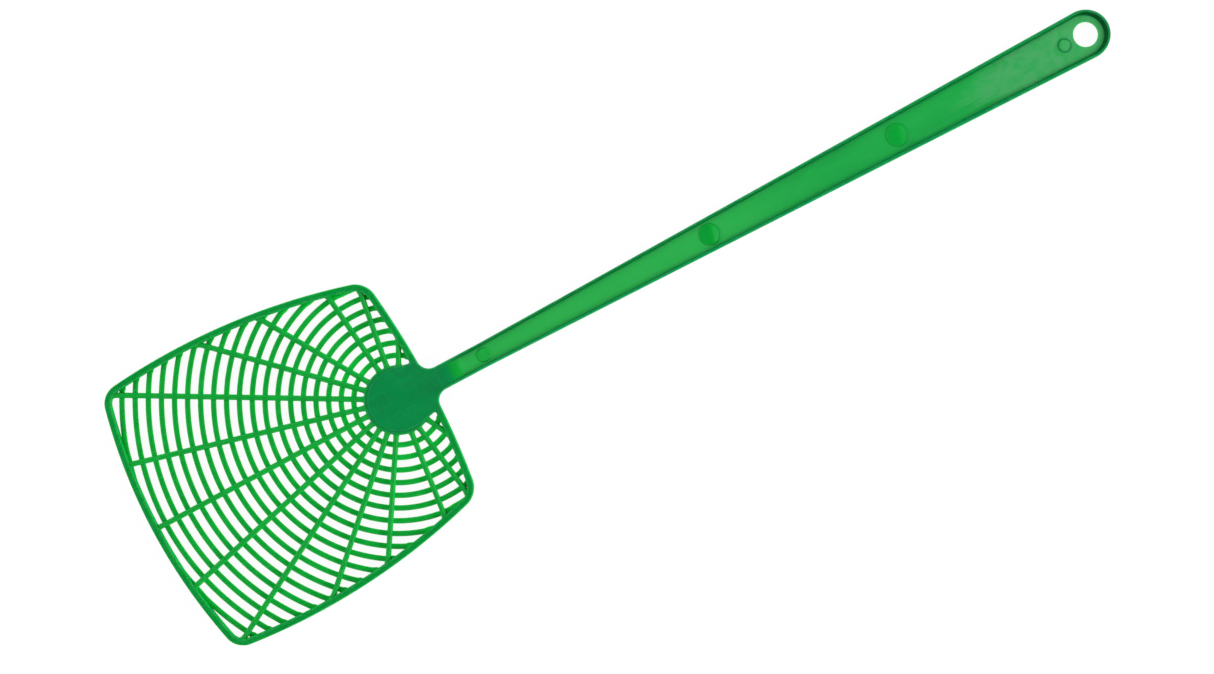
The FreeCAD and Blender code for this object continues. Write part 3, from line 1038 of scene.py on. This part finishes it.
def shade_by_depth(look):
    """Deeper plastic is darker."""
    n = look.n
    ramp = n.add("ShaderNodeValToRGB", Fac=n.math("DIVIDE", look.depth, DEPTH_RANGE))
    stops = ramp.color_ramp.elements
    while len(stops) < len(DEPTH_STOPS):
        stops.new(0.5)
    for stop, (millimetres, colour) in zip(stops, DEPTH_STOPS):
        stop.position = millimetres / DEPTH_RANGE
        stop.color = colour
    look.colour = ramp.outputs["Color"]


def add_clouds(look, cloud):
    """Cloudy pigment, drawn out along the flow of the plastic, and painted light that lifts the shade
    beside the walls.
    """
    n = look.n
    clouds = n.noise(look.place, (0.035, 0.16, 0.16), 4.0, 0.6, distortion=0.8)
    lift = n.between(clouds, 0.3, 0.7, -1.0, 1.0)
    brighter = n.plus(1.0, n.times(lift, cloud))
    # Painted light: rings are brightened where the spokes, frame and hub shade them.
    brighter = n.plus(brighter, n.times(look.painted_light, 0.6))
    tint = n.add("ShaderNodeHueSaturation", Value=brighter, Color=look.colour)
    look.colour = tint.outputs["Color"]
    look.roughen(lift, 0.04)


def add_mottle(look, mottle):
    """Blotches in the solid plastic, which is also a shade duller towards the neck."""
    n = look.n
    blotches = n.noise(look.place, (0.22, 0.22, 0.22), 3.0, 0.6, distortion=1.2)
    look.tint(n.times(n.between(blotches, 0.48, 0.7), mottle), MOTTLED_GREEN)
    near_neck = n.between(look.x, HUB_X - 16.0, HUB_X - 4.0, 1.0, 0.0)
    look.tint(n.times(near_neck, 0.25), ROOT_GREEN)


def add_flow_marks_and_sheen(look, frost_and_sheen):
    """Flow marks that cloud the web from the hang hole down to a curved, streaky edge, with a painted
    milky sheen over them.
    """
    n = look.n
    streaks = n.noise(look.place, (0.035, 0.3, 0.2), 5.0, 0.6, turn=(0, 0, 0.14), distortion=1.6)
    swirl = n.noise(look.place, (0.07, 0.1, 0.1), 4.0, 0.6, distortion=3.0)
    bow = n.times(n.times(look.y, look.y), 0.22)
    reach = n.plus(n.plus(look.x, bow), n.times(streaks, 46.0))
    zone = n.between(reach, 66.0, 84.0, 1.0, 0.0)
    thinner = n.between(swirl, 0.34, 0.62, 0.45, 1.0)
    veil = n.times(n.times(zone, thinner), frost_and_sheen)
    veil = n.times(veil, n.between(look.depth, 2.4, 5.0, 1.0, 0.15))
    # Painted sheen: the milky veil is lightened into the colour; the added roughness is real.
    look.tint(veil, FLOW_MARK_AND_SHEEN_GREEN)
    look.roughen(veil, 0.2)


def lighten_towards_neck(look):
    """Past the middle of the handle the web is lighter, until it nears the ramp."""
    n = look.n
    lighter = n.between(look.x, 110.0, 175.0, 0.0, 0.9)
    before_ramp = n.between(look.x, FLEX_END + 0.5, FLEX_END + 5.5, 1.0, 0.0)
    thin_only = n.between(look.depth, 1.6, 2.4, 1.0, 0.0)
    lighter = n.times(lighter, before_ramp)
    look.tint(n.times(lighter, thin_only), LIGHT_GREEN)


def add_wear(look, edge_light):
    """Handling wear: edges are a shade lighter where they are rubbed. On the two askew pads the same
    lightening paints a highlight crescent.
    """
    n = look.n
    rub_and_sheen = n.noise(look.place, (0.5, 0.5, 0.5), 5.0, 0.65)
    worn = n.times(n.times(look.edge, n.between(rub_and_sheen, 0.35, 0.65)), edge_light)
    look.tint(worn, WORN_AND_SHEEN_GREEN)
    look.roughen(worn, 0.15)


def add_scratches(look):
    """Hairline scratches, mostly along the handle. Returns where they are."""
    n = look.n
    along = n.noise(look.place, (0.05, 4.0, 4.0), 2.0, 0.5, turn=(0, 0, 0.3))
    across = n.noise(look.place, (4.0, 0.07, 4.0), 2.0, 0.5, turn=(0, 0, 0.5))
    scored = n.math("MAXIMUM", n.between(along, 0.66, 0.70), n.between(across, 0.69, 0.73))
    look.tint(n.times(scored, 0.10), SCORED_GREEN)
    look.roughen(scored, 0.12)
    return scored


def relief(look, scored):
    """The mould's fine grain, slow sink marks, and the scratches, as a bumped normal."""
    n = look.n
    grain = n.noise(look.place, (6.0, 6.0, 6.0), 2.0, 0.6)
    sink = n.noise(look.place, (0.08, 0.2, 0.2), 2.0, 0.5)
    height = n.plus(n.times(grain, 0.012), n.times(sink, 0.16))
    height = n.math("SUBTRACT", height, n.times(scored, 0.006))
    bump = n.add("ShaderNodeBump", Height=height, Strength=0.6, Distance=0.001)
    return bump.outputs["Normal"]


def shine(n):
    """Upright walls were against rougher steel in the mould, so they barely shine."""
    normal = n.add("ShaderNodeNewGeometry").outputs["Normal"]
    upright = n.add("ShaderNodeSeparateXYZ", Vector=normal)
    lying = n.between(n.math("ABSOLUTE", upright.outputs["Z"]), 0.25, 0.75)
    return n.times(lying, 0.16)


def plastic(name, frost_and_sheen=0.0, mottle=0.0, edge_light=0.5, cloud=0.08, base_roughness=0.34):
    """Translucent green plastic whose shade follows the depth of material at each point."""
    material, n = new_material(name)
    look = Look(n, base_roughness)
    shade_by_depth(look)
    add_clouds(look, cloud)
    if mottle:
        add_mottle(look, mottle)
    if frost_and_sheen:
        add_flow_marks_and_sheen(look, frost_and_sheen)
        lighten_towards_neck(look)
    add_wear(look, edge_light)
    scored = add_scratches(look)
    surface = n.add(
        "ShaderNodeBsdfPrincipled",
        Base_Color=look.colour,
        Roughness=look.roughness,
        Normal=relief(look, scored),
        IOR=1.49,
        Specular_IOR_Level=shine(n),
        Subsurface_Weight=1.0,
        Subsurface_Radius=(0.25, 1.0, 0.4),
        Subsurface_Scale=0.0012,
    )
    n.add("ShaderNodeOutputMaterial", Surface=surface.outputs[0])
    return material


WHITE = (1, 1, 1, 1)
DARK_PAPER = (0.08, 0.08, 0.08, 1)
PALE_SKY = (0.93, 0.94, 0.95, 1)


def floor_material():
    """A white, softly glowing surface with a trace of paper tooth."""
    material, n = new_material("pale_floor")
    coords = n.add("ShaderNodeTexCoord").outputs["Object"]
    tooth = n.add("ShaderNodeTexNoise", Vector=coords, Scale=900.0)
    bump = n.add("ShaderNodeBump", Height=tooth.outputs["Fac"], Strength=0.05, Distance=0.0002)
    paper = n.add("ShaderNodeBsdfDiffuse", Color=DARK_PAPER, Normal=bump.outputs["Normal"])
    light = n.add("ShaderNodeEmission", Color=WHITE, Strength=0.94)
    both = n.add("ShaderNodeAddShader")
    n.feed(both, 0, paper.outputs[0])
    n.feed(both, 1, light.outputs[0])
    n.add("ShaderNodeOutputMaterial", Surface=both.outputs[0])
    return material


thin_plastic = plastic("plastic_thin_look", frost_and_sheen=0.85, edge_light=0.25, cloud=0.05)
rim_plastic = plastic("plastic_rim_look", edge_light=0.55, cloud=0.06, base_roughness=0.32)
solid_plastic = plastic("plastic_solid_look", mottle=0.5, edge_light=0.35, cloud=0.05)
rib_plastic = plastic("plastic_rib_look", edge_light=0.3, cloud=0.07, base_roughness=0.36)


# ---- assembly ----
def place_on(thing, body, node):
    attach(thing, body)
    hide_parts(node)


def bend_with_neck(thing, slot, *nodes):
    """Bakes the piece's transform into its mesh and hides the CAD nodes it stands for."""
    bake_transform(thing)
    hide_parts(*nodes)


bend_with_neck(handle_rim(rim_plastic), "plastic_rim", "handle_rim", "neck_rims")
bend_with_neck(handle_web(thin_plastic), "plastic_thin", "handle_web", "neck_web")
for number in (1, 2, 3):
    place_on(ejector_pad(number, thin_plastic), "handle", "ejector_pad_%d" % number)
bend_with_neck(ejector_pad(4, thin_plastic), "plastic_thin", "ejector_pad_4")
place_on(neck_root(solid_plastic), "head", "neck_root")
place_on(hub_disc(solid_plastic), "head", "hub_disc")
place_on(head_frame(rim_plastic), "head", "head_frame")
place_on(spoke("spoke_centre_rib", 0.0, rib_plastic), "head", "spoke_centre")
for number, angle in enumerate(SPOKE_ANGLES, 1):
    for side, sign in (("left", 1), ("right", -1)):
        node = "spoke_%s_%d" % (side, number)
        place_on(spoke(node + "_rib", sign * angle, rib_plastic), "head", node)
for number in range(1, RING_COUNT + 1):
    place_on(ring(number, rib_plastic), "head", "ring_%02d" % number)


# ---- floor, light and camera, in metres ----
def floor():
    """A large pale floor that the swatter lies on."""
    half = 4.0
    level = cad_box[0].z - 0.0001
    mesh = bpy.data.meshes.new("floor")
    corners = [(-half, -half, level), (half, -half, level), (half, half, level), (-half, half, level)]
    mesh.from_pydata(corners, [], [(0, 1, 2, 3)])
    mesh.materials.append(floor_material())
    add_object("floor", mesh)


def soft_light(name, place, aim, size, power):
    """A large soft area light that looks at a point."""
    light = bpy.data.lights.new(name, "AREA")
    light.shape = "RECTANGLE"
    light.size, light.size_y = size
    light.energy = power
    thing = add_object(name, light)
    thing.location = place
    thing.rotation_euler = (aim - place).to_track_quat("-Z", "Y").to_euler()


def surround():
    """Soft light from all sides, darker straight above, so that flat faces keep their colour."""
    world = bpy.data.worlds.new("surround")
    world.use_nodes = True
    bpy.context.scene.world = world
    world.node_tree.nodes.clear()
    n = Nodes(world.node_tree)
    coords = n.add("ShaderNodeTexCoord").outputs["Generated"]
    up = n.add("ShaderNodeSeparateXYZ", Vector=coords).outputs["Z"]
    strength = n.between(up, 0.62, 0.96, 1.0, 0.05)
    lit = n.add("ShaderNodeBackground", Color=WHITE, Strength=strength)
    seen = n.add("ShaderNodeBackground", Color=PALE_SKY, Strength=1.0)
    both = n.add("ShaderNodeMixShader")
    n.feed(both, 0, n.add("ShaderNodeLightPath").outputs["Is Camera Ray"])
    n.feed(both, 1, lit.outputs[0])
    n.feed(both, 2, seen.outputs[0])
    n.add("ShaderNodeOutputWorld", Surface=both.outputs[0])


def camera(aim):
    """Straight above, with the handle running to the upper right of the picture."""
    lens = 85.0
    sensor = 36.0
    width_seen = 0.4856
    turn = 151.983
    data = bpy.data.cameras.new("camera")
    data.lens = lens
    data.sensor_width = sensor
    data.clip_start = 0.01
    thing = add_object("camera", data)
    thing.location = (aim.x, aim.y, width_seen * lens / sensor)
    thing.rotation_euler = Euler((0, 0, math.radians(turn)))
    bpy.context.scene.camera = thing


floor()
surround()
centre = (cad_box[0] + cad_box[1]) / 2
soft_light("key_light", centre + Vector((-1.3, 0.7, 0.75)), centre, (1.4, 0.5), 16.0)
soft_light("fill_light", centre + Vector((0.9, -0.9, 0.9)), centre, (1.0, 0.8), 5.0)
camera(centre + Vector((0.0195, 0.0169, 0)))
bpy.context.scene.view_settings.view_transform = "Standard"
